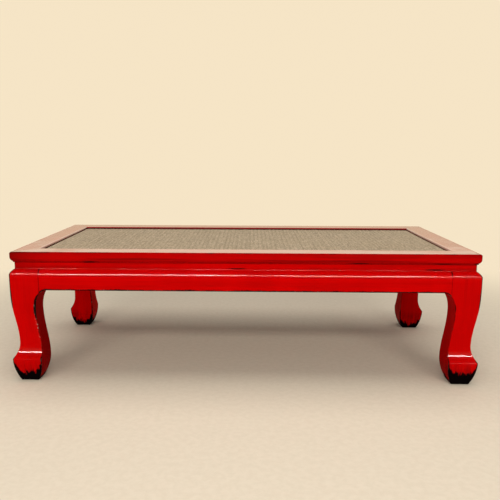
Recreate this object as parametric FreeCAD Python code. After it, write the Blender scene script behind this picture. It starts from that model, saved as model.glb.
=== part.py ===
import FreeCAD, Part
import math
import os

# Low waisted table with a woven inset top, in millimetres.
# X runs along the table, Y from front (-) to back (+), Z up.
# The origin is on the floor, at the middle of the table.

Vec = FreeCAD.Vector

# Driving sizes
top_length = 1400.0
top_depth = 650.0
table_height = 405.0

# Clearance of tenons and tongues on each side, and how far cutting solids overrun
fit = 0.15
overrun = 5.0

# Top frame
rail_width = 72.0
rail_thickness = 31.5
edge_arris = 5.0          # rounding of the outer top edge
edge_band_height = 15.5   # upright part of the edge, measured from the top face
ovolo_depth = 7.0         # how far the moulding below it curves back
edge_lip = 2.5            # upright lip below the moulding
corner_rounding = 2.5     # of the upright corners of frame and waist
inner_arris = 1.2         # rounding of the inner top edge
corner_tenon_thickness = 9.0
corner_tenon_width = 26.0
corner_tenon_inset = 30.0     # from the rail's outer edge to the tenon's near side
corner_tenon_stop = 14.0      # wood left beyond the tenon's end
corner_tenon_drop = 10.0      # from the top face down to the tenon

# Woven mat, boards and braces
mat_recess = 7.0          # from the frame's top face down to the mat
mat_thickness = 3.5
mat_margin = 0.8          # gap between the mat's rim and the frame
mat_rim = 1.2             # rounding of the mat's upper rim
board_thickness = 11.0
board_count = 4
board_gap = 0.4           # room for the wood to swell between two boards
tongue_thickness = 5.0
tongue_drop = 3.0         # from the board's upper face down to its tongue
frame_groove_depth = 9.0
board_tongue_length = 8.0
seam_tongue_length = 6.0
brace_count = 3
brace_width = 42.0
brace_height = 26.0
brace_spread_share = 0.56     # outer braces' distance from the middle, over half the opening
brace_tenon_width = 28.0
brace_tenon_height = 6.0
brace_tenon_length = 16.0
brace_tenon_drop = 1.0        # from the brace's top face down to its tenon

# Waist
waist_height = 21.0
waist_inset = 11.0        # from the frame's outer edge to the waist's face
waist_thickness = 12.5
waist_tongue_thickness = 5.0
waist_tongue_height = 4.0
waist_tongue_setback = 3.75   # from the waist's face to its tongue

# Sloped shoulder that aprons and legs share
slope_height = 13.0
shoulder_proud = 3.0      # how far the shoulder stands out past the frame's edge
slope_belly = 0.9         # how far the slope bulges from a straight line
shoulder_arris = 3.0      # rounding between slope and face

# Aprons
apron_face_height = 50.5
apron_setback = 0.6       # the apron's face lies this far behind the leg's
apron_lower_arris = 1.5
apron_tenon_thickness = 10.0
apron_tenon_setback = 9.0     # from the leg's face to the tenon's front
apron_tenon_length = 28.0
apron_tenon_margin = 7.0      # wood above and below the tenon
arch_reach = 21.5         # how far the end arch runs into the apron
arch_handle_share = 0.63  # fullness of the arch, over its width and its height

# Legs
joint_inset = 84.5        # from the frame's outer edge to the joint of leg and apron
leg_arris = 1.5
sway_drop = 63.0          # from the shoulder's arris down to the start of the outer curve
ankle_height = 122.0
ankle_inset = 11.5
knee_inner_inset = 69.2   # inner face at its narrowest, behind the knee
knee_drop = 67.0          # from the apron's lower edge down to the knee
foot_arris_height = 73.0
foot_proud = 7.0          # how far the foot's arris stands out past the frame's edge
hollow_handle = 22.0      # straightness of the hollow where it leaves the ankle
hollow_lead = 17.0        # straightness of the hollow where it meets the foot's arris
hollow_angle = 36.0       # degrees from upright at the foot's arris
foot_inset = 11.0         # outer edge of the foot where it stands
toe_mid_share = 0.56      # height of the toe's middle point over the arris's height
toe_belly = 3.8           # how far the toe bulges from a straight line
heel_height = 66.0
heel_inset = 81.6
foot_inner_inset = 63.8
sway_handle_share = 0.35
post_size = 36.0
post_tenon_height = 9.0
post_tenon_thickness = 12.0
post_tenon_width = 14.0
post_tenon_margin = 2.0

# Levels
rail_bottom = table_height - rail_thickness
mat_top = table_height - mat_recess
board_top = mat_top - mat_thickness
board_bottom = board_top - board_thickness
tongue_top = board_top - tongue_drop
tongue_bottom = tongue_top - tongue_thickness
slope_top = rail_bottom - waist_height
slope_bottom = slope_top - slope_height
apron_bottom = slope_bottom - apron_face_height
knee_height = apron_bottom - knee_drop
opening_length = top_length - rail_width - rail_width
opening_depth = top_depth - rail_width - rail_width
waist_back = waist_inset + waist_thickness
waist_tongue_near = waist_inset + waist_tongue_setback
apron_back = waist_back
post_near = waist_back + fit

quarter_turn_angle = 90.0
SIDES = ("front", "right", "back", "left")
CORNERS = {
    "front_left": (-1, -1),
    "front_right": (1, -1),
    "back_left": (-1, 1),
    "back_right": (1, 1),
}


def side_frame(side):
    """Length along a side, span across the table, and the turn that brings it from the front."""
    turns = SIDES.index(side)
    angle = turns * quarter_turn_angle
    if side in ("front", "back"):
        return top_length, top_depth, angle
    return top_depth, top_length, angle


def block(x_range, y_range, z_range):
    """Box between two places on each axis."""
    low = Vec(min(x_range), min(y_range), min(z_range))
    high = Vec(max(x_range), max(y_range), max(z_range))
    size = high - low
    return Part.makeBox(size.x, size.y, size.z, low)


def flat(inset, height):
    """Point of an outline: inset from the frame's edge, height above the floor."""
    return Vec(0, inset, height)


def straight(*points):
    """Straight edges from point to point."""
    return [Part.makeLine(a, b) for a, b in zip(points, points[1:])]


def leaving_arc(start, heading, end):
    """Arc that leaves start along heading and reaches end."""
    chord = end - start
    heading = Vec(heading).normalize()
    across = chord - heading * chord.dot(heading)
    turn = math.atan2(across.Length, chord.dot(heading))
    side = Vec(across).normalize()
    half_heading = heading * math.cos(turn / 2) + side * math.sin(turn / 2)
    reach = chord.Length / (2 * math.cos(turn / 2))
    return Part.Arc(start, start + half_heading * reach, end).toShape()


def bellied_arc(start, end, belly, share=0.5):
    """Arc from start to end through a point that lies belly off the chord at share."""
    chord = end - start
    normal = Vec(0, -chord.z, chord.y).normalize()
    return Part.Arc(start, start + chord * share + normal * belly, end).toShape()


def curve(*poles):
    """Bezier curve on its poles."""
    bezier = Part.BezierCurve()
    bezier.setPoles(list(poles))
    return bezier.toShape()


def face_of(edges):
    """Plane face inside a closed outline."""
    return Part.Face(Part.Wire(Part.__sortEdges__(edges)))


def bar(face, run, span):
    """Outline carried along a side of the table, centred on X, with its edge at the front."""
    solid = face.extrude(Vec(run, 0, 0))
    solid.translate(Vec(-run / 2, -span / 2, 0))
    return solid


def mitred(solid, run, span, outset, depth):
    """Keep what lies between the two 45 degree lines through the corners of the side."""
    corners = [
        Vec(-run / 2 - outset, -span / 2 - outset, 0),
        Vec(run / 2 + outset, -span / 2 - outset, 0),
        Vec(run / 2 - depth, -span / 2 + depth, 0),
        Vec(-run / 2 + depth, -span / 2 + depth, 0),
    ]
    keep = Part.Face(Part.makePolygon(corners + corners[:1])).extrude(Vec(0, 0, table_height))
    return solid.common(keep)


def turned(solid, angle):
    """Solid turned about the table's upright axis."""
    solid.rotate(Vec(0, 0, 0), Vec(0, 0, 1), angle)
    return solid


def ring(near, far, z_range):
    """Square ring that follows the table's edge, from inset near to inset far."""
    outer = block((near - top_length / 2, top_length / 2 - near),
                  (near - top_depth / 2, top_depth / 2 - near), z_range)
    inner = block((far - top_length / 2, top_length / 2 - far),
                  (far - top_depth / 2, top_depth / 2 - far), z_range)
    return outer.cut(inner)


def rounded_plan(inset):
    """Upright prism over the table's plan, drawn in by inset, with rounded corners."""
    plan = block((inset - top_length / 2, top_length / 2 - inset),
                 (inset - top_depth / 2, top_depth / 2 - inset), (0, table_height))
    upright = [edge for edge in plan.Edges if edge.BoundBox.ZLength > fit]
    return plan.makeFillet(corner_rounding, upright)


def corner_block(corner, inset_x, inset_y, z_range):
    """Box given by its insets from the frame's two edges at one corner."""
    side_x, side_y = CORNERS[corner]
    x_range = [side_x * (top_length / 2 - inset) for inset in inset_x]
    y_range = [side_y * (top_depth / 2 - inset) for inset in inset_y]
    return block(x_range, y_range, z_range)


def only(solid):
    """The single clean solid that a piece is made of."""
    clean = solid.removeSplitter()
    if len(clean.Solids) != 1:
        raise ValueError("a piece fell apart")
    return clean.Solids[0]


# Top frame


def rail_outline():
    """Section of a frame rail: rounded top edge, upright band, ovolo and lip."""
    ovolo_start = flat(0, table_height - edge_band_height)
    lip_top = flat(ovolo_depth, rail_bottom + edge_lip)
    edges = straight(flat(edge_arris, table_height),
                     flat(rail_width - inner_arris, table_height))
    edges.append(leaving_arc(flat(rail_width - inner_arris, table_height), Vec(0, 1, 0),
                             flat(rail_width, table_height - inner_arris)))
    edges += straight(flat(rail_width, table_height - inner_arris),
                      flat(rail_width, rail_bottom),
                      flat(ovolo_depth, rail_bottom),
                      lip_top)
    edges.append(leaving_arc(ovolo_start, Vec(0, 0, -1), lip_top))
    edges += straight(ovolo_start, flat(0, table_height - edge_arris))
    edges.append(leaving_arc(flat(0, table_height - edge_arris), Vec(0, 0, 1),
                             flat(edge_arris, table_height)))
    return face_of(edges)


def corner_tenon(corner, grow):
    """Tenon of a long rail that enters the short rail at a corner."""
    near = corner_tenon_inset
    far = near + corner_tenon_width
    top = table_height - corner_tenon_drop
    return corner_block(corner,
                        (corner_tenon_stop - grow, far + overrun),
                        (near - grow, far + grow),
                        (top - corner_tenon_thickness - grow, top + grow))


def post_tenons(corner, grow):
    """Two tenons on top of a leg's post: one for the long rail, one for the short rail."""
    near = post_near + post_tenon_margin
    far = post_near + post_size - post_tenon_margin
    thin = (near - grow, near + post_tenon_thickness + grow)
    wide = (far - post_tenon_width - grow, far + grow)
    levels = (rail_bottom - overrun, rail_bottom + post_tenon_height + grow)
    return [corner_block(corner, wide, thin, levels),
            corner_block(corner, thin, wide, levels)]


def board_groove():
    """Groove around the opening that takes the boards' tongues."""
    reach = frame_groove_depth
    return block((-opening_length / 2 - reach, opening_length / 2 + reach),
                 (-opening_depth / 2 - reach, opening_depth / 2 + reach),
                 (tongue_bottom - fit, tongue_top + fit))


def waist_groove(level, upward):
    """Groove for the waist's tongue, above or below a level."""
    near = waist_tongue_near - fit
    far = waist_tongue_near + waist_tongue_thickness + fit
    depth = waist_tongue_height + fit
    if upward:
        return ring(near, far, (level, level + depth))
    return ring(near, far, (level - depth, level))


def make_rail(side):
    """One rail of the top frame, with its tenons or mortises."""
    run, span, angle = side_frame(side)
    rail = turned(mitred(bar(rail_outline(), run, span), run, span, overrun, rail_width), angle)
    rail = rail.common(rounded_plan(0)).cut(board_groove())
    rail = rail.cut(waist_groove(rail_bottom, True))
    for corner in CORNERS:
        if side in ("front", "back"):
            if corner.startswith(side):
                rail = rail.fuse(corner_tenon(corner, 0))
        else:
            rail = rail.cut(corner_tenon(corner, fit))
        for tenon in post_tenons(corner, fit):
            rail = rail.cut(tenon)
    if side in ("front", "back"):
        for place in brace_places():
            rail = rail.cut(brace_tenon(place, fit))
    return only(rail)


# Boards, braces and mat


def brace_places():
    """Middle of each cross brace along the table."""
    reach = brace_spread_share * opening_length / 2
    step = 2 * reach / (brace_count - 1)
    return [-reach + step * index for index in range(brace_count)]


def brace_tenon(place, grow):
    """Both end tenons of a brace, as one long bar."""
    reach = opening_depth / 2 + brace_tenon_length + grow
    top = board_bottom - brace_tenon_drop
    return block((place - brace_tenon_width / 2 - grow, place + brace_tenon_width / 2 + grow),
                 (-reach, reach),
                 (top - brace_tenon_height - grow, top + grow))


def make_brace(place):
    """Cross brace under the boards, tenoned into both long rails."""
    brace = block((place - brace_width / 2, place + brace_width / 2),
                  (-opening_depth / 2, opening_depth / 2),
                  (board_bottom - brace_height, board_bottom))
    return only(brace.fuse(brace_tenon(place, 0)))


def make_board(index):
    """One board of the panel: tongues into the frame, and a tongue-and-groove seam to the next."""
    width = (opening_depth - board_gap * (board_count - 1)) / board_count
    front = -opening_depth / 2 + index * (width + board_gap)
    back = front + width
    tongue = (tongue_bottom, tongue_top)
    half = opening_length / 2
    board = block((-half, half), (front, back), (board_bottom, board_top))
    board = board.fuse(block((-half - board_tongue_length, half + board_tongue_length),
                             (front, back), tongue))
    if index == 0:
        board = board.fuse(block((-half, half), (front - board_tongue_length, front), tongue))
    else:
        board = board.cut(block((-half - overrun - board_tongue_length,
                                 half + overrun + board_tongue_length),
                                (front, front + seam_tongue_length + board_gap),
                                (tongue_bottom - fit, tongue_top + fit)))
    if index == board_count - 1:
        board = board.fuse(block((-half, half), (back, back + board_tongue_length), tongue))
    else:
        board = board.fuse(block((-half, half), (back, back + seam_tongue_length), tongue))
    return only(board)


def make_mat():
    """Woven mat that lies on the boards inside the frame's opening."""
    reach_x = opening_length / 2 - mat_margin
    reach_y = opening_depth / 2 - mat_margin
    mat = block((-reach_x, reach_x), (-reach_y, reach_y), (board_top, mat_top))
    rim = [edge for edge in mat.Edges if edge.BoundBox.ZMin > mat_top - fit]
    return only(mat.makeFillet(mat_rim, rim))


# Waist


def make_waist(side):
    """Waist strip with a tongue above and below, mitred at the corners."""
    run, span, angle = side_frame(side)
    tongue_far = waist_tongue_near + waist_tongue_thickness
    low = slope_top - waist_tongue_height
    high = rail_bottom + waist_tongue_height
    outline = face_of(straight(
        flat(waist_inset, slope_top), flat(waist_inset, rail_bottom),
        flat(waist_tongue_near, rail_bottom), flat(waist_tongue_near, high),
        flat(tongue_far, high), flat(tongue_far, rail_bottom),
        flat(waist_back, rail_bottom), flat(waist_back, slope_top),
        flat(tongue_far, slope_top), flat(tongue_far, low),
        flat(waist_tongue_near, low), flat(waist_tongue_near, slope_top),
        flat(waist_inset, slope_top)))
    strip = turned(mitred(bar(outline, run, span), run, span, 0, waist_back), angle)
    return only(strip.common(rounded_plan(waist_inset)))


# Shoulder, aprons and legs


def shoulder_edges(face_inset):
    """Rounded arris and sloped shoulder, and the place where the upright face ends below them."""
    slope_end = flat(waist_inset, slope_top)
    corner = flat(face_inset, slope_bottom)
    slope = (slope_end - corner).normalize()
    face_end = corner - Vec(0, 0, shoulder_arris)
    slope_start = corner + slope * shoulder_arris
    return face_end, [leaving_arc(face_end, Vec(0, 0, 1), slope_start),
                      bellied_arc(slope_start, slope_end, slope_belly)]


def arch_curve():
    """Curve from the leg's inner face at the knee to the apron's straight lower edge."""
    start = flat(knee_inner_inset, knee_height)
    end = flat(joint_inset + arch_reach, apron_bottom)
    rise = (end.z - start.z) * arch_handle_share
    run = (end.y - start.y) * arch_handle_share
    return start, end, curve(start, start + Vec(0, 0, rise), end - Vec(0, run, 0), end)


def arch_space(run, span):
    """Open space under an apron, from leg to leg, as a prism across the apron."""
    start, end, arch = arch_curve()
    arch.rotate(Vec(0, 0, 0), Vec(0, 0, 1), -90)
    arch.translate(Vec(-run / 2, 0, 0))
    other_arch = arch.mirror(Vec(0, 0, 0), Vec(1, 0, 0))
    floor = start.z - overrun
    outer = run / 2 - start.y
    inner = run / 2 - end.y
    edges = [arch, other_arch] + straight(Vec(-inner, 0, end.z), Vec(inner, 0, end.z))
    edges += straight(Vec(-outer, 0, start.z), Vec(-outer, 0, floor), Vec(outer, 0, floor),
                      Vec(outer, 0, start.z))
    face = face_of(edges)
    face.translate(Vec(0, -span / 2 - shoulder_proud - overrun, 0))
    return face.extrude(Vec(0, shoulder_proud + apron_back + 2 * overrun, 0))


def apron_tenons(side, grow):
    """Tenons at both ends of an apron, as one long bar."""
    run, span, angle = side_frame(side)
    near = apron_tenon_setback - shoulder_proud
    reach = run / 2 - joint_inset + apron_tenon_length + grow
    bar_of_tenons = block((-reach, reach),
                          (near - grow - span / 2, near + apron_tenon_thickness + grow - span / 2),
                          (apron_bottom + apron_tenon_margin - grow,
                           slope_bottom - apron_tenon_margin + grow))
    return turned(bar_of_tenons, angle)


def make_apron(side):
    """Apron with a sloped shoulder, an arch at each end and tenons into the legs."""
    run, span, angle = side_frame(side)
    face_inset = apron_setback - shoulder_proud
    face_end, shoulder = shoulder_edges(face_inset)
    edges = shoulder + straight(flat(waist_inset, slope_top), flat(apron_back, slope_top),
                                flat(apron_back, knee_height),
                                flat(face_inset, knee_height), face_end)
    apron = bar(face_of(edges), run - 2 * joint_inset, span).cut(arch_space(run, span))
    front = face_inset - span / 2
    lower = [edge for edge in apron.Edges
             if abs(edge.BoundBox.YMax - front) < fit and edge.BoundBox.ZMax < apron_bottom + fit
             and edge.BoundBox.XLength > fit]
    apron = turned(apron.makeFillet(apron_lower_arris, lower), angle)
    apron = apron.fuse(apron_tenons(side, 0))
    return only(apron.cut(waist_groove(slope_top, False)))


def leg_outline():
    """Leg seen from one side: S-curved outer and inner faces and the hoof foot."""
    face_end, shoulder = shoulder_edges(-shoulder_proud)
    sway_top = flat(-shoulder_proud, slope_bottom - sway_drop)
    ankle = flat(ankle_inset, ankle_height)
    foot_arris = flat(-foot_proud, foot_arris_height)
    stand_outer = flat(foot_inset, 0)
    stand_inner = flat(foot_inner_inset, 0)
    heel = flat(heel_inset, heel_height)
    knee, arch_end, arch = arch_curve()
    sway_handle = Vec(0, 0, (sway_top.z - ankle.z) * sway_handle_share)
    back_handle = Vec(0, 0, (knee.z - heel.z) * sway_handle_share)
    angle = math.radians(hollow_angle)
    lead = Vec(0, math.sin(angle), math.cos(angle)) * hollow_lead
    edges = shoulder + straight(face_end, sway_top)
    edges.append(curve(sway_top, sway_top - sway_handle, ankle + sway_handle, ankle))
    edges.append(curve(ankle, ankle - Vec(0, 0, hollow_handle), foot_arris + lead, foot_arris))
    edges.append(bellied_arc(stand_outer, foot_arris, toe_belly, toe_mid_share))
    edges += straight(stand_outer, stand_inner)
    edges.append(leaving_arc(heel, Vec(0, 0, -1), stand_inner))
    edges.append(curve(heel, heel + back_handle, knee - back_handle, knee))
    edges.append(arch)
    edges += straight(arch_end, flat(arch_end.y, slope_top), flat(waist_inset, slope_top))
    return face_of(edges)


def at_corner(solid, corner):
    """Solid drawn by its insets from a corner, moved to that corner of the table."""
    side_x, side_y = CORNERS[corner]
    solid.translate(Vec(-top_length / 2, -top_depth / 2, 0))
    if side_x > 0:
        solid = solid.mirror(Vec(0, 0, 0), Vec(1, 0, 0))
    if side_y > 0:
        solid = solid.mirror(Vec(0, 0, 0), Vec(0, 1, 0))
    return solid


def make_leg(corner):
    """Leg cut to one outline from two sides, with a post, tenons and mortises."""
    width = joint_inset + foot_proud
    one_way = leg_outline().extrude(Vec(width, 0, 0))
    one_way.translate(Vec(-foot_proud, 0, 0))
    other_way = one_way.mirror(Vec(0, 0, 0), Vec(1, -1, 0))
    leg = one_way.common(other_way)
    upright = [edge for edge in leg.Edges if edge.BoundBox.ZLength > fit]
    leg = at_corner(leg.makeFillet(leg_arris, upright), corner)
    post = (post_near, post_near + post_size)
    leg = leg.fuse(corner_block(corner, post, post, (slope_bottom, rail_bottom)))
    for tenon in post_tenons(corner, 0):
        leg = leg.fuse(tenon)
    for side in SIDES:
        leg = leg.cut(apron_tenons(side, fit))
    return only(leg.cut(waist_groove(slope_top, False)))


def main():
    """Make every piece and write it to its own file."""
    pieces = {"woven_mat": make_mat()}
    for side in SIDES:
        pieces["frame_rail_" + side] = make_rail(side)
        pieces["waist_" + side] = make_waist(side)
        pieces["apron_" + side] = make_apron(side)
    for corner in CORNERS:
        pieces["leg_" + corner] = make_leg(corner)
    for index in range(board_count):
        pieces["panel_board_" + str(index + 1)] = make_board(index)
    for index, place in enumerate(brace_places()):
        pieces["brace_" + str(index + 1)] = make_brace(place)
    os.makedirs("parts", exist_ok=True)
    for name, solid in pieces.items():
        solid.exportStep("parts/" + name + ".step")
        print(name, round(solid.Volume), solid.isValid())


main()
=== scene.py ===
"""Low red-lacquered table with a woven inset top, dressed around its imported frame."""
import math

import bpy
import numpy as np
from mathutils import Matrix, Vector, noise


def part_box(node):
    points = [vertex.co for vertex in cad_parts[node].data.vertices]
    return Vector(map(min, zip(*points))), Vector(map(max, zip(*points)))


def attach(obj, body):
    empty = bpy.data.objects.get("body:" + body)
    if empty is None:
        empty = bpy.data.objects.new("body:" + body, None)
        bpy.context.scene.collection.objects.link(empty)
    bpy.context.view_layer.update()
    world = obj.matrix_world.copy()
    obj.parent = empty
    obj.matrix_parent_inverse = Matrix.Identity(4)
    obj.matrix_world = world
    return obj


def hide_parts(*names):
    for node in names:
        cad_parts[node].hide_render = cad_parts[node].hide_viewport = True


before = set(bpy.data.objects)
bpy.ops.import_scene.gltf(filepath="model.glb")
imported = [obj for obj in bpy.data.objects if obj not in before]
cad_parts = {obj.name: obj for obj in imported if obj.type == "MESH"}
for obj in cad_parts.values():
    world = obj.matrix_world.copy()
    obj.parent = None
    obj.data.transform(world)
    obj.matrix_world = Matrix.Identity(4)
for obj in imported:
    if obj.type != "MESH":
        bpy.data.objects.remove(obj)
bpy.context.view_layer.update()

# Lengths are in millimetres up to the moment a mesh is made
MM = 0.001


def node_box(node):
    """Lowest and highest corner of a frame node, in millimetres."""
    low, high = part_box(node)
    return np.array(low) / MM, np.array(high) / MM


# Sizes read from the frame
rail_low, rail_high = node_box("frame_rail_front")
side_low, side_high = node_box("frame_rail_left")
waist_low, waist_high = node_box("waist_front")
mat_low, mat_high = node_box("woven_mat")
LENGTH = rail_high[0] - rail_low[0]
DEPTH = side_high[1] - side_low[1]
TOP = rail_high[2]
RAIL_BOTTOM = rail_low[2]
WAIST_INSET = waist_low[1] + DEPTH / 2
WAIST_BACK = waist_high[1] + DEPTH / 2
RAIL_WIDTH = side_high[0] + LENGTH / 2

# Frame section
TOP_ARRIS = 5.0
BAND_HEIGHT = 15.5
OVOLO_DEPTH = 7.0
LIP_HEIGHT = 2.5
INNER_ARRIS = 4.5
RECESS_LEVEL = mat_high[2]
RECESS_SHADE_HEIGHT = {"front": 3.6, "right": 1.9, "back": 3.6, "left": 2.8}    # how far up its wall the painted shade of the recess reaches
# height over which that painted shade fades out
RECESS_SHADE_FADE = 1.2
CORNER_ROUNDING = 2.5

# Waist and shoulder
WAIST_HEIGHT = 21.0
SLOPE_HEIGHT = 13.0
SLOPE_BELLY = 0.9
SHOULDER_PROUD = 3.0
THIN_ARRIS = 0.8            # the aprons' arris swells between these two
WIDE_ARRIS = 2.2
FRONT_SWELL = ((-640, 0.5), (-560, 0.45), (-420, 0.6), (-330, 0.85), (-120, 0.95), (-40, 0.6),
               (30, 0.1), (110, 0.15), (170, 0.5), (240, 0.85), (330, 0.9), (480, 0.7),
               (590, 0.25))             # place along the front, share of the swelling
LEG_SHOULDER_ARRIS = 1.5
ARRIS_DROP = 1.3            # how much lower the aprons' arris lies than the legs'
ARRIS_EASE = 0.35           # share of an arris that goes to rounding it into its faces
ARRIS_CUT = 0.8             # how deep its flat lies, over the depth of a full chamfer
POOL_SIZE = 1.6             # fillet of lacquer where waist and slope meet
SLOPE_TOP = RAIL_BOTTOM - WAIST_HEIGHT
SLOPE_BOTTOM = SLOPE_TOP - SLOPE_HEIGHT

# Aprons
APRON_FACE_HEIGHT = 50.5
APRON_SETBACK = 0.6
APRON_LOWER_ARRIS = 1.5
APRON_BACK = WAIST_BACK
APRON_BOTTOM = SLOPE_BOTTOM - APRON_FACE_HEIGHT
ARCH_REACH = 21.5
ARCH_HANDLE_SHARE = 0.63
JOINT_GROOVE = 0.8          # how deep an apron is drawn in beside the leg
JOINT_GROOVE_REACH = 0.9
JOINT_GROOVE_FADE = 14.0    # depth behind the face over which the groove runs out

# Legs
JOINT_INSET = 84.5
LEG_ARRIS = 1.8
ARRIS_NARROWS = (APRON_BOTTOM - 12, APRON_BOTTOM + 2)   # from its full width to the joint's hairline
SWAY_DROP = 63.0
ANKLE_HEIGHT = 122.0
ANKLE_INSET = 11.5
KNEE_INSET = 69.2
KNEE_HEIGHT = APRON_BOTTOM - 67.0
FOOT_ARRIS_HEIGHT = 73.0
FOOT_PROUD = 7.0
HOLLOW_HANDLE = 22.0
HOLLOW_LEAD = 17.0
HOLLOW_ANGLE = math.radians(36)
FOOT_INSET = 11.0
TOE_MID_SHARE = 0.56
TOE_BELLY = 3.8
HEEL_HEIGHT = 66.0
HEEL_INSET = 81.6
FOOT_INNER_INSET = 63.8
SWAY_HANDLE_SHARE = 0.35
POST_NEAR = WAIST_BACK + 0.15
POST_SIZE = 36.0
FOOT_RIM = 1.6              # rounding of the foot's rim on the floor
FOOT_ARRIS_REACH = 1.6      # and of its proud upper arris

# Where meshes are divided
STATION_STEP = 5.0          # spacing of stations along a bar
END_STATIONS = (0, 0.35, 0.7, 1.1, 1.5, 2, 3, 4.5, 7, 10, 14)           # close to a mitred end
ARCH_STATIONS = (0, 0.4, 0.9, 1.6, 3, 5, 7.5, 10, 13, 16, 19, 22)       # and to an apron's end
SIDE_SHARES = np.array([0.015, 0.035, 0.07, 0.12, 0.2, 0.3, 0.4, 0.5,
                        0.6, 0.7, 0.8, 0.88, 0.93, 0.965, 0.985])       # across a leg
ARRIS_POINTS = 5            # points of a leg's ring round one arris
RIM_HEIGHTS = (0.4, 1.0, 2.0)           # extra rings on the foot's rim
LEAST_STEP = 0.35           # between a leg's rings
SHARP_ANGLE = math.radians(38)
HIGHEST_MASK = 4.0

# Masks along a bar's section: weight at a place, and the reach over which it fades
TOP_EDGE_WEAR = (0.75, 1.6)
INNER_EDGE_WEAR = (0.4, 1.2)
# painted shade in the crease where ovolo and lip meet
LIP_CREASE_SHADE = (0.7, 3.0)
# patina streaks gathered on the downward-facing ovolo, also as its painted shade
OVOLO_STREAKS_AND_SHADE = (1.0, 5.0)
# painted shade under the frame, at the waist's top
WAIST_TOP_SHADE = (1.1, 2.4)
WAIST_FOOT_STREAKS = (0.9, 4.0)
WAIST_FOOT_GLOSS = (1.0, 1.2)
WAIST_FOOT_SHADE = (0.25, 3.0)
APRON_EDGE_WEAR = (1.35, 3.8)
APRON_ARRIS_WEAR = (0.15, 2.0)
APRON_ARRIS_GLOSS = (2.0, 2.0)
APRON_TOP_SHADE = (0.3, 3.0)
FRAME_SHADES = (0.11, 0.19, 0.28, 0.5, 0.0)     # from the lip up to the top face

# Wear, darkening and grime at corners and joints
CORNER_WEAR_REACH = 1.8
MITRE_GRIME = 0.8
MITRE_GRIME_REACH = 0.6
END_SHADE = 0.12            # of frame and waist towards their corners
END_REACH = 22.0
CORNER_SHADE = 0.42         # and more of it at the front left corner
CORNER_REACH = 60.0
SEAM_REACH = 0.32           # half width of the hairline where leg and apron meet
NOTCH_REACH = 3.0           # and of its wider part across the sloped shoulder
SEAM_STRENGTH = 0.62        # darkness of the hairline beside that of the wider part

# Dark stains of the front: place along it, height, half length and strength
LIP_STAINS = ((-461, 2.0, 16.0, 0.7), (343, 2.0, 24.0, 0.5), (590, 2.0, 30.0, 0.42),
              (690, 3.0, 8.0, 0.9))
FOOT_STAINS = ((-571, 1.5, 12.0, 0.6), (-20, 4.0, 36.0, 1.1), (565, 4.0, 38.0, 1.2))
STAIN_HEIGHT = 2.5          # their half height

# Each leg: height of the black on its foot, painted shade of its inner faces, and the wear of its knees,
# outer arris and inmost arris
LEG_LOOKS = {"front_left": {"soot": 31.0, "tone": 0.62, "knee": 1.0, "outer": 1.35, "inmost": 0.4},
             "front_right": {"soot": 37.0, "tone": 0.37, "knee": 0.05, "outer": 0.85, "inmost": 0.4},
             "back_left": {"soot": 22.0, "tone": 0.0, "knee": 0.3, "outer": 0.5, "inmost": 0.8},
             "back_right": {"soot": 16.0, "tone": 0.3, "knee": 0.2, "outer": 0.3, "inmost": 0.4}}
SOOT_CLIMB = 38.0           # how much higher the black stands at the arrises
SOOT_REACH = 7.0
SOOT_SCALE = 24.0           # height over which its flames spread
INNER_SOOT_DROP = 22.0      # how much lower it stands on the front legs' inner faces
LEG_WEAR_REACH = 2.0        # how far wear spreads from an arris
SIDE_WEAR = 0.45            # least wear of the two arrises where outer and inner faces meet
OUTER_WEAR = 0.25           # and of the outer arris
KNEE_WEAR_HEIGHT = 235.0
KNEE_WEAR_REACH = 34.0
OUTER_WEAR_DROP = 60.0      # from the apron's lower edge down to where the outer arris is worn least
OUTER_WEAR_FADE = 25.0
FOOT_WEAR = 0.8
FOOT_WEAR_RISE = 6.0        # from the foot's arris up to where its wear ends
SPECK_HEIGHT = 172.0        # where the wood shows through in specks
SPECK_REACH = 40.0
SPECK_WIDTH = 1.5
HOLLOW_RISE = 14.0          # from the foot's arris up to the darkest part of the hollow
HOLLOW_REACH = 11.0
ANKLE_GLOSS_RISE = 21.0     # and up to the bright line on the ankle
ANKLE_GLOSS_REACH = 8.0
FOOT_GLOSS_RISE = 2.0
FOOT_GLOSS_REACH = 1.5
SHOULDER_GLOSS_REACH = 2.0
TOE_FADE = 20.0             # from the foot's arris down to where the toe is darkest
INSIDE_REACH = 1.5          # distance from an inner face's plane over which its dullness and painted shade fade
JOINED_REACH = 20.0         # how near the plane of a joint an arris belongs to it

# Woven mat
STRAND_PITCH = 3.5
WEFT_PITCH = 4.2
STRAND_RELIEF = 0.9
STRANDS_IN_GROUP = 4        # a wider gap follows each group
GROUP_TONES = (-0.08, 0.05, 0.05, -0.02)        # of the strands of a group
UNDER_LEVEL = -0.55         # levels, as shares of the relief
GAP_LEVEL = -0.75
WIDE_GAP_LEVEL = -0.95
LIFT_SPREAD = 0.08          # how unevenly the strands lie
HIGHEST_LIFT = 0.15
TONE_ROWS = 3               # rows over which a strand keeps its tone
TONE_SPREAD = 0.2
STRAND_TONE_SPREAD = 0.06
GAP_TONES = (-0.1, 0.7)     # least and most painted shade of a wide gap
WEAVE_SEED = 7

# Unevenness of hand-planed wood
WAVE_SIZE = 0.22
WAVE_LENGTH = 55.0
RIPPLE_SHARE = 0.25         # size and length of the quick waves, over those of the slow ones
SWELL_LENGTH = 240.0        # how slowly the arris of the other three aprons changes its width
SWELL_ROW = 7.3             # where in the noise each of them is read
SWELL_LAYER = 0.4

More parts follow.
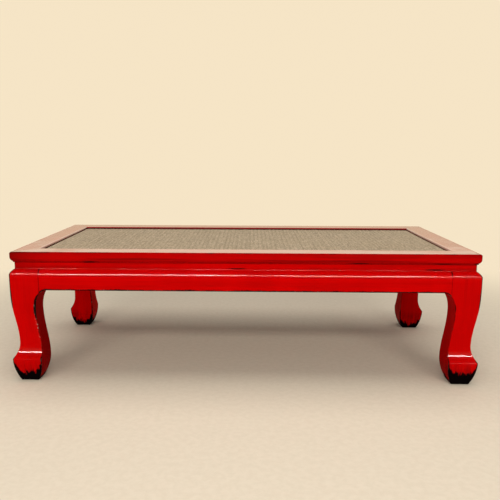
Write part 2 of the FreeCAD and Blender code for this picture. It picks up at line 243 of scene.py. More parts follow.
# Colours, linear
LACQUER_BRIGHT = (0.60, 0.0004, 0.0005, 1)
LACQUER_DEEP = (0.54, 0.0003, 0.0004, 1)
# Colours of the legs' unpolished inner faces, lighter than the lacquer's: painted light
MATT_BRIGHT_PAINTED_LIGHT = (0.78, 0.0005, 0.0006, 1)
MATT_DEEP_PAINTED_LIGHT = (0.70, 0.0004, 0.0005, 1)
# patina, also giving the ovolo its painted shade
LACQUER_PATINA_AND_SHADE = (0.16, 0.002, 0.002, 1)
# dark of grime and stains, and of painted shade in creases and the recess
LACQUER_GRIME_AND_SHADE = (0.05, 0.002, 0.002, 1)
LACQUER_SHADE = (0.10, 0.001, 0.001, 1)
LACQUER_GROUND = (0.006, 0.002, 0.002, 1)
RED_GLOSS = (1.0, 0.04, 0.03, 1)
BARE_WOOD = (0.78, 0.64, 0.55, 1)
SOOT_BLACK = (0.0015, 0.001, 0.0015, 1)
REED_LIGHT = (0.895, 0.712, 0.513, 1)
REED_DARK = (0.33, 0.26, 0.175, 1)
REED_WARM = (0.59, 0.45, 0.285, 1)
# painted shade of the gaps and of the strands that pass under
REED_GAP_SHADE = (0.17, 0.13, 0.085, 1)
WOOD_LIGHT = (0.20, 0.12, 0.062, 1)
WOOD_DARK = (0.085, 0.045, 0.022, 1)
FLOOR_COLOUR = (0.84, 0.75, 0.61, 1)
FLOOR_SHADE = (0.80, 0.71, 0.57, 1)
BACKGROUND = (0.92, 0.78, 0.565, 1)
HORIZON = (1.02, 1.0, 0.745, 1)
HORIZON_LOW = (0.68, 0.56, 0.37, 1)
CEILING = (0.25, 0.23, 0.2, 1)
AMBIENT_COLOUR = (1.0, 0.97, 0.93, 1)
LAMP_COLOUR = (1.0, 0.96, 0.9)

# Where most of a noise lies
NOISE_RANGE = (0.3, 0.7)

# Gloss
POLISHED_IOR = 1.45
LACQUER_IOR = 1.06
MATT_IOR = 1.02
REED_IOR = 1.3
COAT_IOR = 1.25
FACE_COAT = 0.07            # clear coat left on flat faces; it is whole on arrises and ankles

# What the lacquer mirrors, by the upward share of the mirrored direction
MIRRORED_BANDS = ((0.15, HORIZON_LOW), (0.165, HORIZON), (0.36, HORIZON), (0.5, CEILING))

# Light: place, target, size and power of each lamp, in metres and watts
AMBIENT = 0.18
WINDOW = ((0, -4.2, 2.35), (0, 0, 0.25), (5.5, 0.8), 155.0)
GLEAM = ((0, -4.1, 2.3), (0, 0, 0.25), (8.0, 0.28), 740.0)
OVERHEAD = ((0, 0, 3.5), (0, 0, 0), (4.0, 3.0), 72.0)

# Floor, in metres: half its size, and the distances over which it gives way to the background
FLOOR_REACH = 30.0
FLOOR_FADE = (0.95, 2.1)

# Camera, in metres, with its sensor and lens in millimetres
SENSOR_WIDTH = 36.0
CAMERA_LENS = 41.41
CAMERA_PLACE = (0.02, -1.9935, 0.702)
CAMERA_YAW = math.radians(-1.227)
CAMERA_PITCH = math.radians(9.752)
CAMERA_ROLL = math.radians(0.124)
CAMERA_SHIFT = 0.023        # the photograph is cropped a little off centre
CAMERA_CLIP = (0.05, 200.0)


# Outlines: rows of (inset from the frame's edge, height)


def bezier(a, b, c, d, count):
    """Points of a cubic curve on four poles."""
    t = np.linspace(0, 1, count)[:, None]
    a, b, c, d = (np.array(pole, float) for pole in (a, b, c, d))
    return a * (1 - t) ** 3 + 3 * b * t * (1 - t) ** 2 + 3 * c * t ** 2 * (1 - t) + d * t ** 3


def leaving_arc(start, heading, end, count):
    """Points of the arc that leaves start along heading and reaches end."""
    start, end = np.array(start, float), np.array(end, float)
    heading = np.array(heading, float) / np.hypot(*heading)
    chord = end - start
    ahead = chord @ heading
    side = chord - heading * ahead
    across = np.hypot(*side)
    side = side / across
    turn = 2 * math.atan2(across, ahead)
    radius = (chord @ chord) / (2 * across)
    angle = np.linspace(0, turn, count)[:, None]
    return start + heading * radius * np.sin(angle) + side * radius * (1 - np.cos(angle))


def bellied_arc(start, end, belly, count, share=0.5):
    """Points of a shallow bow from start to end, belly off the chord at share of its length."""
    start, end = np.array(start, float), np.array(end, float)
    chord = end - start
    normal = np.array([-chord[1], chord[0]]) / np.hypot(*chord)
    t = np.linspace(0, 1, count)[:, None]
    bow = belly * t * (1 - t) / (share * (1 - share))
    return start + chord * t + normal * bow


def straight(start, end, count):
    """Evenly spaced points of a straight run."""
    start, end = np.array(start, float), np.array(end, float)
    return start + (end - start) * np.linspace(0, 1, count)[:, None]


def joined(*runs):
    """Runs put end to end, without the points that they share."""
    points = np.vstack(runs)
    keep = np.ones(len(points), bool)
    keep[1:] = np.hypot(*(points[1:] - points[:-1]).T) > 1e-6
    return points[keep]


def shoulder_runs(face_inset, arris, drop=0.0):
    """Planed arris and sloped shoulder, upwards from the upright face."""
    end = np.array([WAIST_INSET, SLOPE_TOP])
    corner = np.array([face_inset, SLOPE_BOTTOM - drop])
    slope = (end - corner) / np.hypot(*(end - corner))
    low = corner - [0, arris]
    high = corner + slope * arris
    flat = (high - low) * (1 - ARRIS_EASE) / 2
    middle = corner + ((low + high) / 2 - corner) * ARRIS_CUT
    return [bezier(low, low + [0, arris * ARRIS_EASE], middle - flat, middle, 9),
            bezier(middle, middle + flat, high - slope * arris * ARRIS_EASE, high, 9),
            bellied_arc(high, end, SLOPE_BELLY, 7)]


def arch_points():
    """Curve from the leg's inner face at the knee to the apron's straight lower edge."""
    end = np.array([JOINT_INSET + ARCH_REACH, APRON_BOTTOM])
    start = np.array([KNEE_INSET, KNEE_HEIGHT])
    handle = (end - start) * ARCH_HANDLE_SHARE
    return bezier(start, start + [0, handle[1]], end - [handle[0], 0], end, 40)


def leg_outer():
    """Outer face of a leg from the floor to the waist."""
    arris = np.array([-FOOT_PROUD, FOOT_ARRIS_HEIGHT])
    lead = HOLLOW_LEAD * np.array([math.sin(HOLLOW_ANGLE), math.cos(HOLLOW_ANGLE)])
    ankle = np.array([ANKLE_INSET, ANKLE_HEIGHT])
    sway_top = np.array([-SHOULDER_PROUD, SLOPE_BOTTOM - SWAY_DROP])
    handle = [0, (sway_top[1] - ankle[1]) * SWAY_HANDLE_SHARE]
    shoulder = shoulder_runs(-SHOULDER_PROUD, LEG_SHOULDER_ARRIS)
    return joined(bellied_arc((FOOT_INSET, 0), arris, TOE_BELLY, 24, TOE_MID_SHARE),
                  bezier(arris, arris + lead, ankle - [0, HOLLOW_HANDLE], ankle, 26),
                  bezier(ankle, ankle + handle, sway_top - handle, sway_top, 40),
                  straight(sway_top, shoulder[0][0], 20), *shoulder)


def leg_inner():
    """Inner face of a leg from the floor to the waist."""
    heel = np.array([HEEL_INSET, HEEL_HEIGHT])
    knee = np.array([KNEE_INSET, KNEE_HEIGHT])
    handle = [0, (knee[1] - heel[1]) * SWAY_HANDLE_SHARE]
    arch = arch_points()
    arch = arch[arch[:, 0] <= JOINT_INSET]
    return joined(leaving_arc(heel, (0, -1), (FOOT_INNER_INSET, 0), 20)[::-1],
                  bezier(heel, heel + handle, knee - handle, knee, 40), arch,
                  [[JOINT_INSET, arch[-1][1] + 1], [JOINT_INSET, SLOPE_TOP]])


# Sections of the bars: closed, up the front, back along the top, down the back


def rail_section():
    """Section of a frame rail: rounded top edge, upright band, ovolo and lip."""
    band_end = (0, TOP - BAND_HEIGHT)
    lip_top = (OVOLO_DEPTH, RAIL_BOTTOM + LIP_HEIGHT)
    inner = RAIL_WIDTH
    return joined([(inner, RAIL_BOTTOM)],
                  straight((WAIST_BACK, RAIL_BOTTOM), (OVOLO_DEPTH, RAIL_BOTTOM), 5),
                  [lip_top], leaving_arc(band_end, (0, -1), lip_top, 12)[::-1],
                  straight(band_end, (0, TOP - TOP_ARRIS), 6),
                  leaving_arc((0, TOP - TOP_ARRIS), (0, 1), (TOP_ARRIS, TOP), 12),
                  straight((TOP_ARRIS, TOP), (inner - INNER_ARRIS, TOP), 14),
                  leaving_arc((inner - INNER_ARRIS, TOP), (1, 0), (inner, TOP - INNER_ARRIS), 9),
                  straight((inner, TOP - INNER_ARRIS), (inner, RECESS_LEVEL), 6),
                  straight((inner, RECESS_LEVEL), (inner, RAIL_BOTTOM), 6)[:-1])


def waist_section():
    """Section of a waist strip, with a fillet of lacquer along its foot."""
    slope = np.array([-SHOULDER_PROUD - WAIST_INSET, -SLOPE_HEIGHT])
    foot = np.array([WAIST_INSET, SLOPE_TOP]) + slope / np.hypot(*slope) * POOL_SIZE
    pool = leaving_arc((WAIST_INSET, SLOPE_TOP + POOL_SIZE), (0, -1), foot, 6)[::-1]
    return joined([(WAIST_BACK, SLOPE_TOP), (WAIST_INSET, SLOPE_TOP)], pool,
                  straight(pool[-1], (WAIST_INSET, RAIL_BOTTOM), 8),
                  [(WAIST_BACK, RAIL_BOTTOM)])


def apron_section(shoulder_arris):
    """Section of an apron. Its lowest points are moved to the arch later."""
    face = APRON_SETBACK - SHOULDER_PROUD
    shoulder = shoulder_runs(face, shoulder_arris, ARRIS_DROP)
    arris = APRON_LOWER_ARRIS
    low = APRON_BOTTOM
    return joined(straight((APRON_BACK, low), (face + arris, low), 6),
                  leaving_arc((face + arris, low), (-1, 0), (face, low + arris), 5),
                  straight((face, low + arris), (face, low + 6), 5),
                  straight((face, low + 6), shoulder[0][0], 10), *shoulder,
                  straight((WAIST_INSET, SLOPE_TOP), (APRON_BACK, SLOPE_TOP), 3),
                  straight((APRON_BACK, SLOPE_TOP), (APRON_BACK, low), 8)[:-1])


# Meshes


def near(points, place, weight, reach):
    """How strongly each point of an outline feels a place on it, fading over reach."""
    distance = np.hypot(*(np.array(points) - place).T)
    return weight * np.exp(-distance / reach)


def belt(level, middle, reach, power=2):
    """Weight that is 1 at the middle level and fades over reach above and below it."""
    return np.exp(-np.abs((level - middle) / reach) ** power)


def wavy(points):
    """Small offset of each point, as hand-planed and lacquered wood has."""
    slow = [noise.noise(Vector(point) / WAVE_LENGTH) for point in points]
    quick = [noise.noise(Vector(point) / (WAVE_LENGTH * RIPPLE_SHARE)) for point in points]
    return WAVE_SIZE * (np.array(slow) + RIPPLE_SHARE * np.array(quick))


def linked(name, data):
    """New object of its data, linked to the scene."""
    item = bpy.data.objects.new(name, data)
    bpy.context.scene.collection.objects.link(item)
    return item


def finished(name, mesh, masks, *materials):
    """Object of a mesh, with its named point masks and its materials."""
    for mask, values in masks.items():
        layer = mesh.attributes.new(mask, "FLOAT", "POINT")
        layer.data.foreach_set("value", values.astype(np.float32).ravel())
    for material in materials:
        mesh.materials.append(material)
    return linked(name, mesh)


def grid_object(name, grid, masks, material, second=None, chosen=None):
    """Closed tube through a grid of rings, with capped ends and named point masks.

    The next ring crossed with the next point of a ring points out of the tube. A second
    material goes on the faces whose points are all chosen.
    """
    rings, count = grid.shape[:2]
    points = grid.reshape(-1, 3)
    faces = []
    for ring in range(rings - 1):
        for index in range(count):
            following = (index + 1) % count
            faces.append((ring * count + index, (ring + 1) * count + index,
                          (ring + 1) * count + following, ring * count + following))
    bare = bpy.data.meshes.new(name)
    bare.from_pydata(points * MM, [], faces)
    normals = np.zeros(len(points) * 3)
    bare.vertices.foreach_get("normal", normals)
    points = points + normals.reshape(-1, 3) * wavy(points)[:, None]
    points[:, 2] = np.maximum(points[:, 2], 0)
    bpy.data.meshes.remove(bare)
    faces.append(tuple(range(count)))
    faces.append(tuple(range((rings - 1) * count, rings * count))[::-1])
    mesh = bpy.data.meshes.new(name)
    mesh.from_pydata(points * MM, [], faces)
    mesh.polygons.foreach_set("use_smooth", [True] * len(faces))
    mesh.set_sharp_from_angle(angle=SHARP_ANGLE)
    masks = {mask: np.clip(values, 0, HIGHEST_MASK) for mask, values in masks.items()}
    if second is None:
        return finished(name, mesh, masks, material)
    piece = finished(name, mesh, masks, material, second)
    across = chosen & np.roll(chosen, -1, axis=1)
    across = (across[1:] & across[:-1]).ravel()
    mesh.polygons.foreach_set("material_index", [*across.astype(int), 0, 0])
    return piece


def dress(piece, node):
    """Let a piece ride on the table in place of its frame node."""
    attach(piece, "root")
    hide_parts(node)


SIDES = ("front", "right", "back", "left")


def side_frame(side):
    """Length along a side, span across the table, and the turn that brings it from the front."""
    turn = math.radians(90) * SIDES.index(side)
    if side in ("front", "back"):
        return LENGTH, DEPTH, turn
    return DEPTH, LENGTH, turn


def placed(along, inset, height, span, turn):
    """Points of a front bar, given along, inset and height, turned to their side of the table."""
    x, y = along, inset - span / 2
    return np.stack([x * math.cos(turn) - y * math.sin(turn),
                     x * math.sin(turn) + y * math.cos(turn), height], axis=-1)


def rounded_corner(gone, radius):
    """Distance from the end and draw-in of a point that is gone from a mitred, rounded corner."""
    share = np.clip(1 - gone / radius, 0, 1) / math.sqrt(2)
    ahead = np.where(gone < radius, radius * (1 - share), gone)
    return ahead, radius * (1 - np.sqrt(1 - share ** 2))


def stations(half, close):
    """How far each station of a bar is from its nearer end, and the sign of its own half."""
    gone = np.linspace(close[-1], half, int(half / STATION_STEP))
    gone = np.concatenate([close, gone[1:]])
    gone = np.concatenate([gone, gone[::-1][1:]])
    sign = np.ones(len(gone))
    sign[:len(gone) // 2] = -1
    return gone, sign


def mitred_bar(name, section, side, masks, level, stains, material, second=None, chosen=None):
    """Bar along one side, mitred at both ends, with its outer upright corners rounded.

    Only the front one gets the stains, whose heights count from the level.
    """
    run, span, turn = side_frame(side)
    inset, height = section.T
    half = run / 2
    gone, sign = stations(half, END_STATIONS)
    gone = gone[:, None] * (half - inset) / half
    radius = np.maximum(CORNER_ROUNDING * np.clip(2 - inset / WAIST_INSET, 0, 1), 0.01)
    ahead, drawn_in = rounded_corner(gone, radius)
    grid = placed(sign[:, None] * (half - inset - ahead), inset + drawn_in,
                  np.broadcast_to(height, gone.shape), span, turn)
    outside = inset < WAIST_INSET + 1
    values = {mask: np.broadcast_to(value, gone.shape).copy() for mask, value in masks.items()}
    values["edge"] = np.maximum(values["edge"], np.exp(-gone / CORNER_WEAR_REACH) * outside)
    corner_gone = np.hypot(grid[..., 0] + LENGTH / 2, grid[..., 1] + DEPTH / 2)
    dark = END_SHADE * np.exp(-gone / END_REACH) + CORNER_SHADE * np.exp(-corner_gone / CORNER_REACH)
    values["shade"] = values["shade"] + dark * outside
    mitre = MITRE_GRIME * np.exp(-gone / MITRE_GRIME_REACH)
    values["grime_and_shade"] = np.maximum(values["grime_and_shade"], mitre * ~outside)
    for along, above, reach, strength in stains if side == "front" else ():
        spot = ((grid[..., 0] - along) / reach) ** 2 + ((height - level - above) / STAIN_HEIGHT) ** 2
        values["grime_and_shade"] = values["grime_and_shade"] + strength * np.exp(-spot) * outside
    if second:
        chosen = np.broadcast_to(chosen, gone.shape)
    return grid_object(name, grid, values, material, second, chosen)


def make_rail(side, material, polished):
    """One rail of the top frame, its top face and inner edge polished down to the painted shade at the
    foot of the recess's wall.
    """
    section = rail_section()
    inset, height = section.T
    edge = near(section, (TOP_ARRIS * 0.5, TOP - TOP_ARRIS * 0.1), *TOP_EDGE_WEAR)
    edge += near(section, (RAIL_WIDTH - 1, TOP - 1), *INNER_EDGE_WEAR)
    # painted shade in the crease under the ovolo
    grime_and_shade = near(section, (OVOLO_DEPTH, RAIL_BOTTOM + LIP_HEIGHT), *LIP_CREASE_SHADE)
    # The recess's wall gets painted shade, full at the mat and fading out higher up
    wall = inset > RAIL_WIDTH - INNER_ARRIS
    shade_top = RECESS_LEVEL + RECESS_SHADE_HEIGHT[side]
    dark = shade_top - RECESS_SHADE_FADE
    grime_and_shade[wall] = np.interp(height[wall], (dark, shade_top), (1.0, 0.3))
    turned = np.interp(inset, (RAIL_WIDTH - INNER_ARRIS, RAIL_WIDTH - 0.5), (0.0, 0.75))
    # patina streaks over the rail, more on the ovolo, where they are also its painted shade
    streak = near(section, (OVOLO_DEPTH * 0.2, TOP - BAND_HEIGHT - 4), *OVOLO_STREAKS_AND_SHADE) + 0.2
    below = (TOP - RAIL_BOTTOM, BAND_HEIGHT, TOP_ARRIS * 0.8, TOP_ARRIS * 0.2, 0)
    shade = np.interp(height, TOP - np.array(below), FRAME_SHADES)
    masks = {"edge": edge, "grime_and_shade": grime_and_shade, "streak": streak, "gloss": np.full(len(height), FACE_COAT),
             "shade": np.where(wall, turned, shade * (inset < RAIL_WIDTH / 2))}
    chosen = np.where(inset > RAIL_WIDTH / 2, height > dark, height > TOP - 0.01)
    return mitred_bar("lacquered_rail_" + side, section, side, masks, RAIL_BOTTOM, LIP_STAINS,
                      material, polished, chosen)


def make_waist(side, material):
    """One strip of the waist."""
    section = waist_section()
    foot = (WAIST_INSET - 0.5, SLOPE_TOP + 0.5)
    masks = {"edge": np.zeros(len(section)),
             # painted shade where the waist meets the frame's underside
             "grime_and_shade": near(section, (WAIST_INSET, RAIL_BOTTOM), *WAIST_TOP_SHADE),
             "streak": near(section, (WAIST_INSET, SLOPE_TOP + 3), *WAIST_FOOT_STREAKS) + 0.25,
             "gloss": near(section, foot, *WAIST_FOOT_GLOSS) + FACE_COAT,
             "shade": near(section, (WAIST_INSET, SLOPE_TOP), *WAIST_FOOT_SHADE) + 0.03}
    return mitred_bar("lacquered_waist_" + side, section, side, masks, SLOPE_TOP, FOOT_STAINS,
                      material)


def seam(gone, level):
    """Grime of the joint of leg and apron, wider and darker across the sloped shoulder."""
    sloped = level > SLOPE_BOTTOM - 1
    reach = np.where(sloped, NOTCH_REACH, SEAM_REACH)
    return np.exp(-gone / reach) * np.where(sloped, 1.0, SEAM_STRENGTH)


def make_apron(side, material):
    """Apron between two legs, with an arch at each end and an arris of uneven width."""
    run, span, turn = side_frame(side)
    half = run / 2 - JOINT_INSET
    from_end, sign = stations(half, ARCH_STATIONS)
    place = sign * (half - from_end)
    thin, wide = apron_section(THIN_ARRIS), apron_section(WIDE_ARRIS)
    if side == "front":
        swell = np.interp(place, *zip(*FRONT_SWELL))
    else:
        row = SIDES.index(side) * SWELL_ROW
        swell = [noise.noise(Vector((x / SWELL_LENGTH, row, SWELL_LAYER))) for x in place]
        swell = np.clip(0.5 + np.array(swell), 0, 1)
    swell = swell[:, None, None]
    section = thin * (1 - swell) + wide * swell
    inset, height = section[..., 0], section[..., 1]
    arch = arch_points()
    low = np.interp(from_end + JOINT_INSET, arch[:, 0], arch[:, 1])[:, None]
    face_top = SLOPE_BOTTOM - ARRIS_DROP - WIDE_ARRIS
    face_share = np.clip((face_top - height) / (face_top - APRON_BOTTOM), 0, 1)
    heights = height + (low - APRON_BOTTOM) * face_share
    face = inset.min()
    groove = JOINT_GROOVE * np.clip(1 - from_end / JOINT_GROOVE_REACH, 0, 1)[:, None]
    insets = inset + groove * np.clip(1 - (inset - face) / JOINT_GROOVE_FADE, 0, 1)
    grid = placed(np.broadcast_to(place[:, None], insets.shape), insets, heights, span, turn)
    edge = near(thin, (face, APRON_BOTTOM), *APRON_EDGE_WEAR)
    edge += near(thin, (face, SLOPE_BOTTOM), *APRON_ARRIS_WEAR)
    gloss = near(thin, (face, SLOPE_BOTTOM), *APRON_ARRIS_GLOSS) + FACE_COAT
    shade = near(thin, (WAIST_INSET, SLOPE_TOP), *APRON_TOP_SHADE)
    masks = {"edge": np.broadcast_to(edge, insets.shape),
             "grime_and_shade": seam(from_end[:, None], thin[:, 1]),
             "streak": np.full(insets.shape, 0.16),
             "gloss": np.broadcast_to(gloss, insets.shape),
             "shade": np.broadcast_to(shade, insets.shape)}
    return grid_object("lacquered_apron_" + side, grid, masks, material)


def eased(outline, corner, reach):
    """Outline with one of its corners rounded over reach on both sides."""
    corner = np.array(corner, float)
    distance = np.hypot(*(outline - corner).T)
    split = int(np.argmin(distance))
    before = outline[:split][distance[:split] > reach]
    after = outline[split:][distance[split:] > reach]
    return joined(before, bezier(before[-1], corner, corner, after[0], 9), after)


def leg_levels():
    """Heights of a leg's rings, with the insets of its outer and inner faces there."""
    outer = eased(leg_outer(), (-FOOT_PROUD, FOOT_ARRIS_HEIGHT), FOOT_ARRIS_REACH)
    inner = leg_inner()
    heights = np.unique(np.concatenate([outer[:, 1], inner[:, 1], RIM_HEIGHTS]).round(2))
    heights = heights[np.concatenate([[True], np.diff(heights) > LEAST_STEP])]
    heights[-1] = SLOPE_TOP
    worn = FOOT_RIM * (1 - np.sqrt(1 - np.clip(1 - heights / FOOT_RIM, 0, 1) ** 2))
    return (heights, np.interp(heights, outer[:, 1], outer[:, 0]) + worn,
            np.interp(heights, inner[:, 1], inner[:, 0]) - worn)


def ring_plan(low, high, arris):
    """Rounded square from low to high both ways, and how far each point is from a corner."""
    near_low, near_high = low + arris, high - arris
    centres = np.array([(near_high, near_low), (near_low, near_low),
                        (near_low, near_high), (near_high, near_high)])
    runs, gone = [], []
    for index, centre in enumerate(centres):
        angle = -math.radians(90) * (index + np.linspace(0, 1, ARRIS_POINTS)[:, None])
        runs.append(centre + arris * np.hstack([np.cos(angle), np.sin(angle)]))
        offset = runs[-1][-1] - centre
        run = centres[(index + 1) % 4] - centre
        runs.append(centre + offset + run * SIDE_SHARES[:, None])
        gone.append(np.zeros(ARRIS_POINTS))
        gone.append(np.hypot(*run) * np.minimum(SIDE_SHARES, 1 - SIDE_SHARES))
    return np.vstack(runs), np.concatenate(gone)


def leg_masks(corner, level, gone, inside, joined_side):
    """Point masks of a leg. Of its four arrises, 1 is the outer and 3 the inmost one."""
    looks = LEG_LOOKS[corner]
    block = gone.shape[1] // 4
    arris = ((np.arange(4 * block) + block // 2 - ARRIS_POINTS // 2) // block) % 4
    side_arris = arris % 2 == 0
    knee = belt(level, KNEE_WEAR_HEIGHT, KNEE_WEAR_REACH, 4) * looks["knee"]
    high = np.clip((level - APRON_BOTTOM + OUTER_WEAR_DROP) / OUTER_WEAR_FADE, 0, 1) * looks["outer"]
    wear = np.where(arris == 1, OUTER_WEAR + high, looks["inmost"])
    wear = np.where(side_arris, SIDE_WEAR + knee, wear)
    wear = np.where(level < FOOT_ARRIS_HEIGHT + FOOT_WEAR_RISE, FOOT_WEAR, wear)
    edge = np.exp(-gone / (LEG_WEAR_REACH * (1 + 0.5 * knee * side_arris))) * ~joined_side * wear
    foot_arris = belt(level, FOOT_ARRIS_HEIGHT + FOOT_GLOSS_RISE, FOOT_GLOSS_REACH, 1)
    hollow = belt(level, FOOT_ARRIS_HEIGHT + HOLLOW_RISE, HOLLOW_REACH)
    ankle = belt(level, FOOT_ARRIS_HEIGHT + ANKLE_GLOSS_RISE, ANKLE_GLOSS_REACH)
    shoulder = belt(level, SLOPE_BOTTOM, SHOULDER_GLOSS_REACH, 1)
    toe = np.clip((FOOT_ARRIS_HEIGHT - level) / TOE_FADE, 0, 1)
    gloss = np.clip(1.5 * ankle + foot_arris + 2 * shoulder, 0, 1)
    spared = inside * ("front" in corner)
    soot = looks["soot"] + SOOT_CLIMB * np.exp(-gone / SOOT_REACH) * (1 - spared) - level
    soot = soot - INNER_SOOT_DROP * np.clip(1.5 * spared - 0.5, 0, 1)
    speck = belt(level, SPECK_HEIGHT, SPECK_REACH) * np.exp(-gone / SPECK_WIDTH) * looks["knee"]
    return {"edge": np.maximum(edge, 0.1 * foot_arris) * (level < SLOPE_TOP - 1),
            "grime_and_shade": joined_side * seam(gone, level),
            "streak": 0.12 + 0.5 * toe,
            "inside": inside,
            "speck": speck * side_arris,
            # painted shade on the inner faces, set per leg, and a darkening in the foot's hollow and on
            # the toe
            "shade": 0.05 + looks["tone"] * inside + (0.15 * hollow + 0.07 * toe) * (1 - inside),
            "gloss": FACE_COAT + (1 - FACE_COAT) * gloss,
            "soot": 2 + soot / SOOT_SCALE}


def make_leg(corner, material, matt):
    """Leg lofted up through rounded squares, with its post and unpolished inner faces, which carry
    painted light and painted shade.
    """
    sign_x = 1 if "right" in corner else -1
    sign_y = 1 if "back" in corner else -1
    heights, outer, inner = leg_levels()
    heights = np.concatenate([heights, [SLOPE_TOP, RAIL_BOTTOM]])
    outer = np.concatenate([outer, [POST_NEAR] * 2])
    inner = np.concatenate([inner, [POST_NEAR + POST_SIZE] * 2])
    arris = np.interp(heights, ARRIS_NARROWS, (LEG_ARRIS, SEAM_REACH))
    rings = [ring_plan(*sizes) for sizes in zip(outer, inner, arris)]
    plan = np.array([ring[0] for ring in rings])
    gone = np.array([ring[1] for ring in rings])
    level = np.broadcast_to(heights[:, None], gone.shape)
    grid = np.stack([sign_x * (LENGTH / 2 - plan[..., 0]), sign_y * (DEPTH / 2 - plan[..., 1]),
                     level], axis=-1)
    from_joint = np.abs(plan - inner[:, None, None]).min(axis=-1)
    joined_side = (level > APRON_BOTTOM) & (from_joint < JOINED_REACH)
    inside = np.clip(1 - (inner[:, None] - plan.max(axis=-1)) / INSIDE_REACH, 0, 1)
    masks = leg_masks(corner, level, gone, inside, joined_side)
    if sign_x * sign_y < 0:
        grid = grid[:, ::-1]
        masks = {mask: values[:, ::-1] for mask, values in masks.items()}
    return grid_object("lacquered_leg_" + corner, grid, masks, material, matt, masks["inside"] > 0.99)


# Woven mat


def weave(strands, rows):
    """Levels, tones and raised points of the twill, two columns to a strand: its gap and its crest."""
    column = np.arange(2 * strands + 1)
    over = (column[:, None] // 2 + np.arange(rows)) % 4 < 2         # two over, two under
    crest = column[:, None] % 2 == 1
    wide_gap = (column % (2 * STRANDS_IN_GROUP) == 0)[:, None]
    rng = np.random.default_rng(WEAVE_SEED)
    strand = np.minimum(column // 2, strands - 1)
    lift = rng.normal(0, LIFT_SPREAD, strands)[strand][:, None]
    level = np.where(crest, np.where(over, 0, UNDER_LEVEL) + lift,
                     np.where(wide_gap, WIDE_GAP_LEVEL, GAP_LEVEL))
    drift = rng.normal(0, 1, (strands, rows + TONE_ROWS))
    drift = np.lib.stride_tricks.sliding_window_view(drift, TONE_ROWS, axis=1)[:, :rows].sum(axis=2)
    tone = 0.5 + TONE_SPREAD * drift / math.sqrt(TONE_ROWS)
    tone += rng.normal(0, STRAND_TONE_SPREAD, strands)[:, None]
    broken = rng.uniform(*GAP_TONES, (len(column), rows // TONE_ROWS + 1))
    broken = np.repeat(broken, TONE_ROWS, axis=1)[:, :rows]
    group = np.array(GROUP_TONES)[strand % STRANDS_IN_GROUP]
    # a wide gap is painted darker by a random amount, as painted shade
    tone = tone[strand] + group[:, None] - broken * wide_gap
    return np.minimum(level, HIGHEST_LIFT), tone, over & crest


def slab_faces(columns, rows):
    """Faces of a slab: its points are a grid of columns, then the two low ends of each column."""
    base = columns * rows
    faces = []
    for index in range(columns - 1):
        start = index * rows
        faces += [(start + j, start + rows + j, start + rows + j + 1, start + j + 1)
                  for j in range(rows - 1)]
        near_low, far_low = base + 2 * index, base + 2 * index + 1
        faces.append((near_low, near_low + 2, start + rows, start))
        faces.append((far_low + 2, far_low, start + rows - 1, start + 2 * rows - 1))
        faces.append((near_low, far_low, far_low + 2, near_low + 2))
    low_end = base + 2 * columns
    faces.append((base, *range(rows), base + 1))
    faces.append((low_end - 1, *range(base - 1, base - rows - 1, -1), low_end - 2))
    return faces


def make_mat(material):
    """Twill whose split strands run along the depth, as one slab."""
    (x0, y0, z0), (x1, y1, z1) = mat_low, mat_high
    rows = round((y1 - y0) / WEFT_PITCH)
    level, tone, raised = weave(round((x1 - x0) / STRAND_PITCH), rows)
    columns = len(level)
    x = np.linspace(x0, x1, columns)[:, None]
    y = np.linspace(y0, y1, rows)
    top = np.stack(np.broadcast_arrays(x, y, z1 + STRAND_RELIEF * level), axis=-1).reshape(-1, 3)
    low = np.stack(np.broadcast_arrays(x, y[[0, -1]], z0), axis=-1).reshape(-1, 3)
    mesh = bpy.data.meshes.new("mat_weave")
    mesh.from_pydata(np.vstack([top, low]) * MM, [], slab_faces(columns, rows))
    masks = {mask: np.concatenate([np.clip(values, 0, 1).ravel(), np.zeros(len(low))])
             for mask, values in (("over", raised), ("tone", tone))}
    return finished("mat_weave", mesh, masks, material)


# Materials


class Graph:
    """The shader nodes of a material or of the world."""

    def __init__(self, owner):
        owner.use_nodes = True
        self.tree = owner.node_tree

    def put(self, socket, value):
        """Give a socket a value, or wire another socket to it."""
        if isinstance(value, bpy.types.NodeSocket):
            self.tree.links.new(value, socket)
        else:
            socket.default_value = value

    def fill(self, node, named):
        """Put values into the inputs of a node, their names written with underscores."""
        for name, value in named.items():
            self.put(node.inputs[name.replace("_", " ")], value)

    def node(self, kind, *values, **named):
        """New node, with values for its first inputs and for those that are named."""
        node = self.tree.nodes.new("ShaderNode" + kind)
        for socket, value in zip(node.inputs, values):
            self.put(socket, value)
        self.fill(node, named)
        return node

    def math(self, operation, *values):
        """Result of a Math node."""
        node = self.node("Math", *values)
        node.operation = operation
        return node.outputs[0]

    def fold(self, operation, values):
        """Result of an operation on all the values in turn."""
        result = values[0]
        for value in values[1:]:
            result = self.math(operation, result, value)
        return result

    def largest(self, *values):
        """Largest of several values."""
        return self.fold("MAXIMUM", values)


